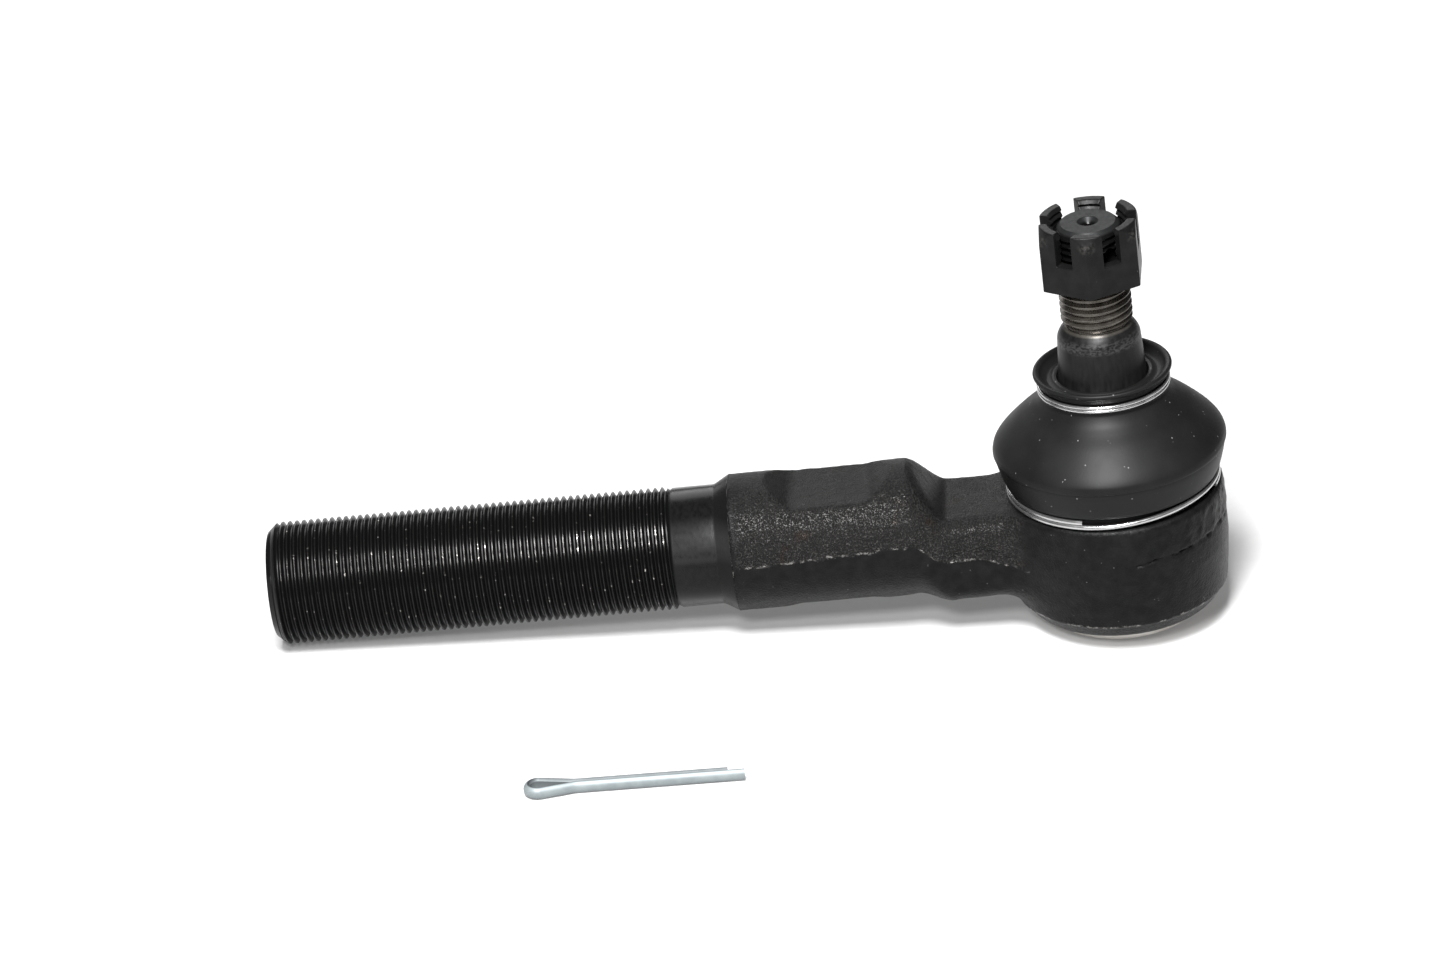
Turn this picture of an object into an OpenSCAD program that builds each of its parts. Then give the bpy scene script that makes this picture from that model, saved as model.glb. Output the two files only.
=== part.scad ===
// Outer tie rod end: a forged body with a threaded shank, and a ball stud that
// tilts and turns in its socket under a rubber boot.
// The origin is the centre of the ball. +Z runs up the stud, and the shank points to -X.

/* [Shank] */
// Outside diameter of the shank's thread
shank_d = 26; // [22:1:28]
// Pitch of the shank's thread
shank_pitch = 1.5; // [1:0.25:2]
// Distance from the stud's axis to the end of the shank
shank_reach = 178.9; // [165:0.1:200]
// Length of the shank's thread
shank_thread_l = 83.5; // [60:0.5:86]
// Height of the shank's axis above the centre of the ball
shank_rise = 3; // [0:0.5:4]
// Diameter of the forged round section between thread and arm
grip_d = 29; // [27.5:0.1:32]
// Distance across the two wrench flats
flats_af = 22.4; // [20:0.2:24]

/* [Arm] */
// Width of the arm between the round section and the housing
arm_w = 25.6; // [22:0.2:28]
// Height of the arm's flat top above the centre of the ball
arm_top = 8.7; // [6:0.1:9]
// Depth of the arm's underside below the centre of the ball
arm_bottom = 10.4; // [9:0.5:12]

/* [Housing] */
// Largest diameter of the ball housing
housing_d = 46.4; // [46:0.1:52]
// Height of the housing's shoulder above the centre of the ball
shoulder_z = 9.3; // [9:0.1:9.4]
// Diameter of the bore that holds the two ball seats
socket_d = 33.2; // [33:0.1:34]

/* [Ball stud] */
// Diameter of the ball
ball_d = 25; // [24.6:0.1:25.2]
// Diameter of the stud's thread
stud_d = 15; // [14:0.5:15]
// Pitch of the stud's thread
stud_pitch = 1.5; // [1.25:0.25:1.5]
// Height of the stud's end face above the centre of the ball
stud_top = 69.8; // [68:0.2:74]
// Large diameter of the taper
taper_d = 18.4; // [18:0.1:19]
// Small diameter of the taper
taper_end_d = 17.4; // [17:0.1:17.8]

/* [Nut and split pin] */
// Width across the flats of the castle nut
nut_af = 20; // [19:0.5:22]
// Overall height of the castle nut
nut_h = 13.7; // [12.5:0.1:14]
// Width of the nut's slots
slot_w = 3.9; // [3.6:0.1:4.6]
// Diameter of the closed split pin's legs
pin_d = 2.8; // [2.4:0.1:3]
// Length of the split pin's longer leg
pin_leg_l = 34; // [30:0.5:45]

/* [Boot] */
// Largest diameter of the boot
boot_d = 49; // [48:0.2:49.4]
// Thickness of the boot's wall
boot_wall = 1.6; // [1.2:0.1:1.8]
// Wire diameter of the lower boot ring
lower_wire_d = 1.1; // [0.9:0.1:1.2]
// Wire diameter of the upper boot ring
upper_wire_d = 0.8; // [0.6:0.1:0.9]

/* [Hidden] */
$fn = 96;
// A small overlap that joins solids of one piece
lap = 0.4;
// Radial play of a running fit
play = 0.05;

// Threads are parallel rings of the standard 60 degree profile: depth and crest per pitch
thread_depth_k = 0.6134;
thread_crest_k = 0.125;

// Shank, measured along -X from the stud's axis
shank_chamfer = 2.3;
thread_end = shank_reach - shank_chamfer - shank_thread_l;
neck_d = shank_d - 0.8;
neck_l = 9.6;
flare_l = 2.8;
grip_end = 43.5;
flats_from = 51.5;
flats_to = 72;
arm_start = 36;
arm_root = 14;
arm_edge_r = 4;

// Housing, heights from the centre of the ball
parting_z = -2.5;
spigot_r = 19.6;
spigot_top = 13.4;
cuff_groove_r = 18.9;
mouth_r = 15.4;
throat_r = 12.3;
throat_z = 8.6;
draft_r = 0.5;
edge_z = -13.6;
edge_r = 22.4;
lip_r = 20.4;
lip_z = -16.4;
lip_bottom = -17.2;
plate_seat_z = -15.2;
plate_r = 19;
plate_t = 1.6;
lip_bore_r = 18.2;
dish_bottom = -19.8;
dish_edge = 1.8;

// Stud, heights from the centre of the ball
neck_r = 7;
neck_top = 15;
collar_r = taper_d / 2 + 0.2;
collar_z = 22;
taper_z = 36;
taper_top = 43.8;
thread_z = 47;
relief_r = 6.5;
ball_flat = 11.4;
centre_drill_r = 2.2;
cross_hole_z = 64.2;
cross_hole_r = 1.75;
cross_hole_turn = 33;

// Nut
nut_z = stud_top - 12.8;
nut_solid_h = 6.4;
nut_turn = 26.5;
nut_chamfer = 0.16;

// Ball seats and spring
seat_r = socket_d / 2 - play;
seat_split = 0.6;
seat_top = 8.4;
seat_lip_r = 12.2;
seat_lip_z = 6;
lower_seat_bottom = -13.4;
lower_seat_hole_r = 4.5;
spring_bottom = plate_seat_z + 0.05;
spring_top = lower_seat_bottom - 0.05;
spring_t = 0.9;
spring_r = 15.8;
spring_hole_r = 8;

// Boot, as [radius, height] down the outside from the upper ring to the lower ring
boot_r = boot_d / 2;
upper_ring_z = 33;
upper_ring_r = 13.4;
lower_ring_z = 10.5;
lower_ring_r = 21.9;
boot_groove_r = lower_ring_r - 0.6;
upper_wire_r = upper_ring_r + upper_wire_d / 2 - 0.25;
upper_wire_turn = 330;
upper_wire_from = -70;
lower_wire_r = lower_ring_r + lower_wire_d / 2 - 0.45;
lower_wire_turn = 270;
lower_wire_from = -18;
boot_lip_z = 36.6;
boot_lip_r = 14.4;
boot_lip_bore_r = collar_r + 0.1;
boot_dome = [[upper_ring_r - 0.3, upper_ring_z + 1], [upper_ring_r - 0.3, upper_ring_z - 1],
             [13.7, 31.4], [15.5, 29.4], [18, 27.4], [20.6, 25.2], [22.9, 22.8], [boot_r, 20],
             [boot_r - 0.3, 18.4], [23.3, 14.6], [lower_ring_r + 0.5, 12],
             [boot_groove_r, lower_ring_z + 1.2]];

// Split pin, lying beside the part
pin_eye_r = 1.6;
pin_taper = 12;
pin_bend_r = 6;
pin_bend_steps = 3;
pin_eye_steps = 24;
wire_sides = 10;
pin_gap = 0.06;
pin_short = 3.4;
pin_at = [-120.8, -70.7, -12];
pin_turn = 4.8;
pin_slope = 3.5;

// Radius of the ball's surface, larger by the given play, at a height
function ball_at(z, more = 0) = sqrt((ball_d / 2 + more) * (ball_d / 2 + more) - z * z);

// A list in the opposite order
function reverse(list) = [for (i = [len(list) - 1 : -1 : 0]) list[i]];

// A shaft along +Z of stacked [radius, height] points, closed on the axis
module turned(points) {
    rotate_extrude()
        polygon(concat([[0, points[0][1]]], points, [[0, points[len(points) - 1][1]]]));
}

// A thread of parallel rings along +Z, from 0 to a height
module ring_thread(r, pitch, height, more = 0) {
    rings = floor(height / pitch);
    root = r - thread_depth_k * pitch + more;
    crest = r + more;
    half = thread_crest_k * pitch / 2;
    flank = (crest - root) * tan(30);
    turned(concat([[root, 0]],
                  [for (i = [0 : rings - 1], p = [[root, -half - flank], [crest, -half],
                                                 [crest, half], [root, half + flank]])
                      [p[0], (i + 0.5) * pitch + p[1]]],
                  [[root, height]]));
}

// A bar along +X with rounded long edges, from one x to another
module edged_bar(x0, x1, half_w, z0, z1, edge) {
    for (y = [-1, 1], z = [z0 + edge, z1 - edge])
        translate([x0, y * (half_w - edge), z])
            rotate([0, 90, 0])
                cylinder(r = edge, h = x1 - x0, $fn = 32);
}

module shank() {
    thread_r = shank_d / 2;
    core_r = thread_r - thread_depth_k * shank_pitch;
    translate([-shank_reach, 0, shank_rise])
        rotate([0, 90, 0]) {
            turned([[thread_r - 2, 0], [core_r, 1.6], [core_r, shank_chamfer + lap]]);
            translate([0, 0, shank_chamfer])
                ring_thread(thread_r, shank_pitch, shank_thread_l);
            translate([0, 0, shank_chamfer + shank_thread_l - lap])
                turned([[core_r, 0], [core_r, lap + 0.2], [neck_d / 2, lap + 0.8],
                        [neck_d / 2, lap + neck_l], [grip_d / 2, lap + neck_l + flare_l],
                        [grip_d / 2, lap + thread_end - grip_end]]);
        }
}

module wrench_flats() {
    for (side = [-1, 1])
        translate([-flats_to, -grip_d / 2, shank_rise + side * (flats_af / 2 + grip_d / 2) - grip_d / 2])
            cube([flats_to - flats_from, grip_d, grip_d]);
}

module arm() {
    // The drop from the round section to the flat arm
    hull() {
        translate([-grip_end - lap, 0, shank_rise])
            rotate([0, 90, 0])
                cylinder(d = grip_d, h = lap, $fn = 48);
        edged_bar(-arm_start - lap, -arm_start + lap, arm_w / 2, -arm_bottom, arm_top, arm_edge_r);
    }
    hull()
        edged_bar(-arm_start, -arm_root, arm_w / 2, -arm_bottom, arm_top, arm_edge_r);
}

module housing_outside() {
    top_r = housing_d / 2 - draft_r;
    turned([[lip_bore_r + 0.6, lip_bottom], [lip_r - 0.6, lip_bottom], [lip_r, lip_z], [edge_r, edge_z],
            [housing_d / 2, parting_z - 1], [housing_d / 2, parting_z + 1],
            [top_r, shoulder_z - 0.7], [top_r - 0.7, shoulder_z],
            [cuff_groove_r, shoulder_z], [cuff_groove_r, spigot_top - 1.6],
            [spigot_r, spigot_top - 1], [spigot_r, spigot_top]]);
}

module housing_cavity() {
    turned([[lip_bore_r, lip_bottom - 1], [lip_bore_r, plate_seat_z - plate_t],
            [plate_r, plate_seat_z - plate_t], [plate_r, plate_seat_z],
            [socket_d / 2, plate_seat_z], [socket_d / 2, throat_z],
            [throat_r, throat_z], [mouth_r, spigot_top - 0.4], [mouth_r, spigot_top + 1]]);
}

module forged_body() {
    color("#26272a")
        difference() {
            union() {
                shank();
                arm();
                housing_outside();
            }
            wrench_flats();
            housing_cavity();
        }
}

module ball_stud() {
    color("#3a3a3c")
        difference() {
            union() {
                intersection() {
                    sphere(d = ball_d);
                    translate([0, 0, -ball_flat])
                        cylinder(r = ball_d, h = 2 * ball_d);
                }
                turned([[neck_r, 0], [neck_r, neck_top], [collar_r, collar_z],
                        [collar_r, taper_z - 1.6], [taper_d / 2, taper_z - 1.4],
                        [taper_end_d / 2, taper_top], [taper_end_d / 2 - 0.4, taper_top + 1],
                        [relief_r + 0.8, thread_z - 0.6], [relief_r, thread_z], [relief_r, thread_z + lap]]);
                translate([0, 0, thread_z])
                    ring_thread(stud_d / 2, stud_pitch, stud_top - thread_z - 1.1);
                translate([0, 0, stud_top - 1.1 - lap])
                    turned([[relief_r, 0], [relief_r, lap + 0.8], [relief_r - 0.3, lap + 1.1]]);
            }
            translate([0, 0, stud_top - 3])
                turned([[0.2, 0], [centre_drill_r, 2], [centre_drill_r, 3.5]]);
            translate([0, 0, cross_hole_z])
                rotate([90, 0, cross_hole_turn])
                    cylinder(r = cross_hole_r, h = stud_d + 2, center = true);
        }
}

// The ball's half of a seat: everything inside the ball's surface and its play
module ball_space() {
    sphere(d = ball_d + 2 * play);
}

module upper_ball_seat() {
    color("#d8d2c0")
        difference() {
            translate([0, 0, seat_split])
                cylinder(r = seat_r, h = seat_top - seat_split);
            ball_space();
            translate([0, 0, seat_lip_z])
                turned([[ball_at(seat_lip_z, play) - 0.01, 0], [seat_lip_r, seat_top - seat_lip_z],
                        [seat_lip_r, seat_top]]);
        }
}

module lower_ball_seat() {
    color("#d8d2c0")
        difference() {
            translate([0, 0, lower_seat_bottom])
                cylinder(r = seat_r, h = -lower_seat_bottom - seat_split);
            ball_space();
            translate([0, 0, lower_seat_bottom - 1])
                cylinder(r = lower_seat_hole_r, h = 4);
        }
}

// A conical disc spring between the lower seat and the cover
module preload_spring() {
    rise = spring_top - spring_bottom - spring_t;
    color("#8c9096")
        rotate_extrude()
            polygon([[spring_r, spring_bottom], [spring_r, spring_bottom + spring_t],
                     [spring_hole_r, spring_bottom + rise + spring_t], [spring_hole_r, spring_bottom + rise]]);
}

module cover_plate() {
    dish_r = lip_bore_r - 0.3;
    floor_z = dish_bottom + plate_t;
    color("#b9bcc0")
        difference() {
            turned([[dish_r - dish_edge, dish_bottom], [dish_r, dish_bottom + dish_edge],
                    [dish_r, plate_seat_z - plate_t], [plate_r, plate_seat_z - plate_t],
                    [plate_r, plate_seat_z]]);
            translate([0, 0, floor_z])
                cylinder(r = spring_hole_r + 4, h = 5);
        }
}

module dust_boot() {
    inside = [for (p = boot_dome) [p[0] - boot_wall, p[1]]];
    color("#1b1b1c")
        rotate_extrude()
            polygon(concat(
                [[boot_lip_bore_r, boot_lip_z - 2.4], [boot_lip_bore_r + 2.4, boot_lip_z - 1.4],
                 [boot_lip_r - 0.9, boot_lip_z], [boot_lip_r, boot_lip_z - 0.6], [boot_lip_r - 0.8, boot_lip_z - 2]],
                boot_dome,
                [[boot_groove_r, shoulder_z + 0.1], [cuff_groove_r + 0.05, shoulder_z + 0.1],
                 [cuff_groove_r + 0.05, spigot_top - 1.7], [spigot_r + 0.3, spigot_top - 0.9],
                 [spigot_r + 0.3, spigot_top + 0.6]],
                [for (i = [len(boot_dome) - 3 : -1 : 3]) inside[i]],
                [[upper_ring_r - 2.4, upper_ring_z - 2.6], [boot_lip_bore_r, upper_ring_z - 2]]));
}

// A wire ring of two stacked turns, the upper one stopping short
module wire_ring(r, z, wire_d, second_turn, second_from) {
    step = wire_d * 0.45;
    translate([0, 0, z - step])
        rotate_extrude()
            translate([r, 0])
                circle(d = wire_d);
    translate([0, 0, z + step])
        rotate([0, 0, second_from])
            rotate_extrude(angle = second_turn)
                translate([r, 0])
                    circle(d = wire_d);
}

module upper_boot_ring() {
    color("#c9ccd0")
        wire_ring(upper_wire_r, upper_ring_z, upper_wire_d, upper_wire_turn, upper_wire_from);
}

module lower_boot_ring() {
    color("#c9ccd0")
        wire_ring(lower_wire_r, lower_ring_z, lower_wire_d, lower_wire_turn, lower_wire_from);
}

module castle_nut() {
    corner_r = nut_af / 2 / cos(30);
    color("#2c2d30")
        translate([0, 0, nut_z])
            difference() {
                intersection() {
                    rotate([0, 0, nut_turn])
                        cylinder(r = corner_r, h = nut_h, $fn = 6);
                    turned([[corner_r + 0.1, 0], [corner_r + 0.1, nut_h * (1 - nut_chamfer)],
                            [nut_af / 2 - 0.7, nut_h]]);
                }
                translate([0, 0, thread_z - nut_z])
                    ring_thread(stud_d / 2, stud_pitch, 24, 2 * play);
                translate([0, 0, -0.01])
                    turned([[stud_d / 2 + 0.7, 0], [stud_d / 2 - 0.2, 0.9]]);
                translate([0, 0, nut_h - 0.9])
                    turned([[stud_d / 2 - 0.2, 0], [stud_d / 2 + 0.7, 0.91]]);
                for (i = [0 : 2])
                    rotate([0, 0, nut_turn + 30 + 60 * i])
                        translate([-nut_af, -slot_w / 2, nut_solid_h])
                            cube([2 * nut_af, slot_w, nut_h]);
            }
}

// A half-round wire swept along a path of [x, y, heading], with its flat side to the left
module half_round_wire(path, d) {
    arc = [for (i = [0 : wire_sides]) -90 + 180 * i / wire_sides];
    n = len(arc);
    last = len(path) - 1;
    polyhedron(
        points = [for (p = path, a = arc)
            [p[0] + sin(p[2]) * cos(a) * d / 2, p[1] - cos(p[2]) * cos(a) * d / 2, sin(a) * d / 2]],
        faces = concat(
            [[for (i = [0 : n - 1]) i]],
            [for (k = [0 : last - 1], i = [0 : n - 1])
                [k * n + i, (k + 1) * n + i, (k + 1) * n + (i + 1) % n, k * n + (i + 1) % n]],
            [[for (i = [n - 1 : -1 : 0]) last * n + i]]));
}

module split_pin() {
    side_l = (pin_eye_r * cos(pin_taper) - pin_gap - pin_bend_r * (1 - cos(pin_taper))) / sin(pin_taper);
    leg_x = (pin_eye_r + pin_bend_r) * sin(pin_taper) + side_l * cos(pin_taper);
    bend = [for (i = [0 : pin_bend_steps]) pin_taper * i / pin_bend_steps];
    eye = [for (i = [0 : pin_eye_steps]) 180 - pin_taper + (180 + 2 * pin_taper) * i / pin_eye_steps];
    path = concat(
        [[leg_x + pin_leg_l - pin_short, pin_gap, 180]],
        [for (t = bend)
            [leg_x - pin_bend_r * sin(t), pin_gap + pin_bend_r * (1 - cos(t)), 180 - t]],
        [for (h = eye) [pin_eye_r * sin(h), -pin_eye_r * cos(h), h]],
        [for (t = reverse(bend))
            [leg_x - pin_bend_r * sin(t), -pin_gap - pin_bend_r * (1 - cos(t)), t]],
        [[leg_x + pin_leg_l, -pin_gap, 0]]);
    color("#cdd1d4")
        translate(pin_at)
            rotate([0, pin_slope, pin_turn])
                half_round_wire(path, pin_d);
}

forged_body();
ball_stud();
upper_ball_seat();
lower_ball_seat();
preload_spring();
cover_plate();
dust_boot();
upper_boot_ring();
lower_boot_ring();
castle_nut();
split_pin();
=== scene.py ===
import math
from itertools import product

import bmesh
import bpy
import numpy as np
from mathutils import Matrix, Vector, noise


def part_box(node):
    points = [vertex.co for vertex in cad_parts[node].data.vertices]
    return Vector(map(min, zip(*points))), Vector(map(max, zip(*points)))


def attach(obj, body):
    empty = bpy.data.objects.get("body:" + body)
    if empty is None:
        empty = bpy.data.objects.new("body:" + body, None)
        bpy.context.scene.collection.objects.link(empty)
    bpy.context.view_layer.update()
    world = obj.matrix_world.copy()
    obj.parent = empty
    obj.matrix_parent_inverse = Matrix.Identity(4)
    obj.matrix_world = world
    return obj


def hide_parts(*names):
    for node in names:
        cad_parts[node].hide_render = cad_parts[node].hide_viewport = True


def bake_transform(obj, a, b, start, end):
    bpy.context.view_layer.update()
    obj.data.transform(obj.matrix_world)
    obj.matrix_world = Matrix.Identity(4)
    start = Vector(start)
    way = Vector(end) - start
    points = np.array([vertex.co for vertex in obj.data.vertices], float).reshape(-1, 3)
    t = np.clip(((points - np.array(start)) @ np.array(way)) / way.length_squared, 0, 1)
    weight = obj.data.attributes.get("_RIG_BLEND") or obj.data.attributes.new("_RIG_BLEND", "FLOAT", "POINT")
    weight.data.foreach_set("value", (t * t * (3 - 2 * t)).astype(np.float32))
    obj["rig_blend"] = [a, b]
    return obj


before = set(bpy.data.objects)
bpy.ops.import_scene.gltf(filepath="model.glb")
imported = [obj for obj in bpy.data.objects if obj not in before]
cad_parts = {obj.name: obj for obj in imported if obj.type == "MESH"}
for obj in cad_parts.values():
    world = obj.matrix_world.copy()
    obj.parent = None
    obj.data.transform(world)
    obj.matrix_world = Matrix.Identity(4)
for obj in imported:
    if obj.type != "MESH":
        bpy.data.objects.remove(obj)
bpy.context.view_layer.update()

# An outer tie rod end. All shapes below are worked out in millimetres in the frame's own axes:
# the ball's centre is the origin, +Z runs up the stud and the shank points to -X.
MM = 0.001


def cad(node):
    """Lowest and highest corner of a CAD node, in millimetres."""
    low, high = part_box(node)
    return low / MM, high / MM


# ---------------------------------------------------------------- sizes taken from the frame
body_low, body_high = cad("forged_body")
nut_low, nut_high = cad("castle_nut")
stud_high = cad("ball_stud")[1]
boot_high = cad("dust_boot")[1]
cover_low = cad("cover_plate")[0]

SHANK_END = body_low.x
SHANK_RISE = 3.0  # the shank's axis is this far above the ball's centre
SHANK_R = 13.0
GRIP_R = body_high.z - SHANK_RISE
HOUSING_R = body_high.x
BALL_R = stud_high.x
STUD_TOP = stud_high.z
BOOT_R = boot_high.x
BOOT_TOP = boot_high.z
NUT_BOTTOM = nut_low.z
NUT_H = nut_high.z - nut_low.z
COVER_BOTTOM = cover_low.z

# ---------------------------------------------------------------- general mesh code


def ramp(x, start, end):
    """0 before start, 1 after end, and smooth between."""
    t = np.clip((x - start) / (end - start), 0, 1)
    return t * t * (3 - 2 * t)


def mix(a, b, t):
    """From a to b, as t goes from 0 to 1."""
    return a + (b - a) * t


def smooth_min(a, b, k):
    """The smaller of two fields, with their corner filled over a width k."""
    h = np.clip(0.5 + 0.5 * (b - a) / k, 0, 1)
    return mix(b, a, h) - k * h * (1 - h)


def smooth_max(a, b, k):
    """The larger of two fields, with their corner rounded over a width k."""
    return -smooth_min(-a, -b, k)


def arc(centre, radius, start, end, steps):
    """Points of an arc in a plane, from one angle to another in degrees."""
    angles = np.radians(np.linspace(start, end, steps + 1))
    return [(centre[0] + radius * math.cos(a), centre[1] + radius * math.sin(a)) for a in angles]


def curve_through(points, steps):
    """A smooth curve through points, with some steps between each two."""
    p = np.array(points, float)
    p = np.vstack([2 * p[0] - p[1], p, 2 * p[-1] - p[-2]])
    out = []
    for i in range(1, len(p) - 2):
        for t in np.arange(steps) / steps:
            a, b, c, d = p[i - 1 : i + 3]
            out.append(0.5 * (2 * b + (c - a) * t + (2 * a - 5 * b + 4 * c - d) * t**2
                              + (3 * b - a - 3 * c + d) * t**3))
    return [tuple(q) for q in out] + [tuple(p[-2])]


def offset_curve(points, distance):
    """A plane curve moved sideways, to the right of its direction."""
    p = np.array(points)
    along = np.gradient(p, axis=0)
    along /= np.linalg.norm(along, axis=1)[:, None]
    return [tuple(q) for q in p + distance * np.stack([along[:, 1], -along[:, 0]], 1)]


def new_object(name, points, faces, materials=(), sharp_from=35):
    """A mesh object from points in millimetres, smooth except at edges over an angle."""
    mesh = bpy.data.meshes.new(name)
    mesh.from_pydata((np.asarray(points, float) * MM).tolist(), [], faces)
    shape = bmesh.new()
    shape.from_mesh(mesh)
    bmesh.ops.recalc_face_normals(shape, faces=shape.faces)
    shape.to_mesh(mesh)
    shape.free()
    for material in materials:
        mesh.materials.append(material)
    obj = bpy.data.objects.new(name, mesh)
    bpy.context.scene.collection.objects.link(obj)
    soften(obj, sharp_from)
    return obj


def soften(obj, sharp_from=35):
    """Smooth shading, with edges over an angle left sharp."""
    obj.data.shade_smooth()
    obj.data.set_sharp_from_angle(angle=math.radians(sharp_from))


def write_values(obj, name, values):
    """Keeps one number for each point of a mesh, for its material to read."""
    attributes = obj.data.attributes
    attribute = attributes.get(name) or attributes.new(name, "FLOAT", "POINT")
    attribute.data.foreach_set("value", np.asarray(values, np.float32))


def combine(base, other, operation):
    """Joins, cuts or intersects base with another solid, which is then removed."""
    modifier = base.modifiers.new("combine", "BOOLEAN")
    modifier.operation = operation
    modifier.solver = "MANIFOLD"
    modifier.object = other
    graph = bpy.context.evaluated_depsgraph_get()
    mesh = bpy.data.meshes.new_from_object(base.evaluated_get(graph))
    base.modifiers.clear()
    old = base.data
    base.data = mesh
    bpy.data.meshes.remove(old)
    bpy.data.objects.remove(other)
    return base


def lathe(name, outline, segments=160, materials=(), closed=False, sharp_from=35):
    """A solid of revolution about Z from [radius, height] points.
    An open outline starts and ends on the axis; a closed one makes a ring."""
    turn = np.linspace(0, 2 * math.pi, segments, endpoint=False)
    rim = outline if closed else outline[1:-1]
    points = [(r * math.cos(a), r * math.sin(a), z) for r, z in rim for a in turn]
    rows = len(rim)
    faces = []
    for row in range(rows if closed else rows - 1):
        here, there = row * segments, (row + 1) % rows * segments
        for i in range(segments):
            j = (i + 1) % segments
            faces.append((here + i, here + j, there + j, there + i))
    if not closed:
        first, last = len(points), len(points) + 1
        points += [(0, 0, outline[0][1]), (0, 0, outline[-1][1])]
        end = (rows - 1) * segments
        faces += [(first, (i + 1) % segments, i) for i in range(segments)]
        faces += [(last, end + i, end + (i + 1) % segments) for i in range(segments)]
    return new_object(name, points, faces, materials, sharp_from)


DEPTH_PER_PITCH = 0.6134  # of an external metric thread
SPARE_TURNS = 2  # at each end, to be cut off


def threaded_rod(name, radius, pitch, length, segments, materials=()):
    """A right-hand threaded rod along +Z, a little longer than asked at both ends."""
    depth, crest = DEPTH_PER_PITCH * pitch, 0.125 * pitch
    flank = depth * math.tan(math.radians(30))
    root = pitch - crest - 2 * flank
    profile = [(0, -depth), (root, -depth), (root + flank, 0), (root + flank + crest, 0)]
    n = len(profile)
    steps = segments * (math.ceil(length / pitch) + 2 * SPARE_TURNS)
    points = []
    for step in range(steps + 1):
        angle, rise = 2 * math.pi * step / segments, pitch * (step / segments - SPARE_TURNS)
        for along, out in profile:
            r = radius + out
            points.append((r * math.cos(angle), r * math.sin(angle), rise + along))
    faces = []
    for step in range(steps):
        a, b = step * n, (step + 1) * n
        faces += [(a + i, b + i, b + i + 1, a + i + 1) for i in range(n - 1)]
        if step + segments < steps:
            faces.append((a + n - 1, b + n - 1, b + segments * n, a + segments * n))
    low = [step * n for step in range(segments + 1)] + [n - 1 - i for i in range(n - 1)]
    start = steps - segments
    high = [step * n + n - 1 for step in range(start, steps + 1)]
    high += [steps * n + n - 2 - i for i in range(n - 1)]
    for loop, rise in ((low, points[0][2]), (high, points[-1][2])):
        centre = len(points)
        points.append((0, 0, rise))
        faces += [(centre, loop[i], loop[(i + 1) % len(loop)]) for i in range(len(loop))]
    return new_object(name, points, faces, materials)


def sweep(name, path, outline, materials=(), sharp_from=35):
    """A wire: a cross-section of (side, up) points carried along a path, closed at both ends.
    Side is level, to the left of the path, and up is square to both."""
    p = np.array(path, float)
    along = np.gradient(p, axis=0)
    along /= np.linalg.norm(along, axis=1)[:, None]
    side = np.stack([-along[:, 1], along[:, 0], np.zeros(len(p))], 1)
    side /= np.linalg.norm(side, axis=1)[:, None]
    up = np.cross(along, side)
    points = [p[i] + s * side[i] + u * up[i] for i in range(len(p)) for s, u in outline]
    n = len(outline)
    faces = [tuple(range(n)), tuple((len(p) - 1) * n + i for i in range(n))]
    for i in range(len(p) - 1):
        a, b = i * n, (i + 1) * n
        faces += [(a + k, a + (k + 1) % n, b + (k + 1) % n, b + k) for k in range(n)]
    return new_object(name, points, faces, materials, sharp_from)


# ---------------------------------------------------------------- surfaces from fields
# A field gives each point's signed distance from a shape's surface: below 0 is inside.


def polygon_field(outline, u, v):
    """Distance to a closed polygon of (u, v) corners."""
    square = np.full(np.shape(u), np.inf)
    inside = np.zeros(np.shape(u), bool)
    for (au, av), (bu, bv) in zip(outline, outline[1:] + outline[:1]):
        eu, ev, wu, wv = bu - au, bv - av, u - au, v - av
        t = np.clip((wu * eu + wv * ev) / (eu * eu + ev * ev), 0, 1)
        square = np.minimum(square, (wu - eu * t) ** 2 + (wv - ev * t) ** 2)
        if ev:
            inside ^= ((av > v) != (bv > v)) & (wu < eu * wv / ev)
    return np.where(inside, -1, 1) * np.sqrt(square)


def rounded_bar(y, z, half_w, half_h, edge):
    """Distance to a bar's cross-section with rounded edges."""
    side, rise = np.abs(y) - half_w + edge, np.abs(z) - half_h + edge
    outer = np.hypot(np.maximum(side, 0), np.maximum(rise, 0))
    return outer + np.minimum(np.maximum(side, rise), 0) - edge


def slope(field, points, step=0.04):
    """The field's value and its direction of growth at points."""
    parts = []
    for i in range(3):
        move = np.zeros(3)
        move[i] = step
        parts.append(field(*(points + move).T) - field(*(points - move).T))
    grow = np.stack(parts, 1) / (2 * step)
    size = np.linalg.norm(grow, axis=1) + 1e-9
    return field(*points.T) / size, grow / size[:, None]


def settle(field, points, quads, rounds, reach):
    """Evens the points out along the surface, and brings them onto it."""
    joined = np.concatenate([quads[:, [i, (i + 1) % 4]] for i in range(4)])
    count = np.bincount(joined[:, 0], minlength=len(points))[:, None]
    for _ in range(rounds):
        total = np.zeros_like(points)
        np.add.at(total, joined[:, 0], points[joined[:, 1]])
        value, normal = slope(field, points)
        drift = total / count - points
        drift -= (drift * normal).sum(1)[:, None] * normal
        points = points + 0.5 * drift
        for _ in range(2):
            value, normal = slope(field, points)
            points = points - np.clip(value, -reach, reach)[:, None] * normal
    return points, normal


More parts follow.
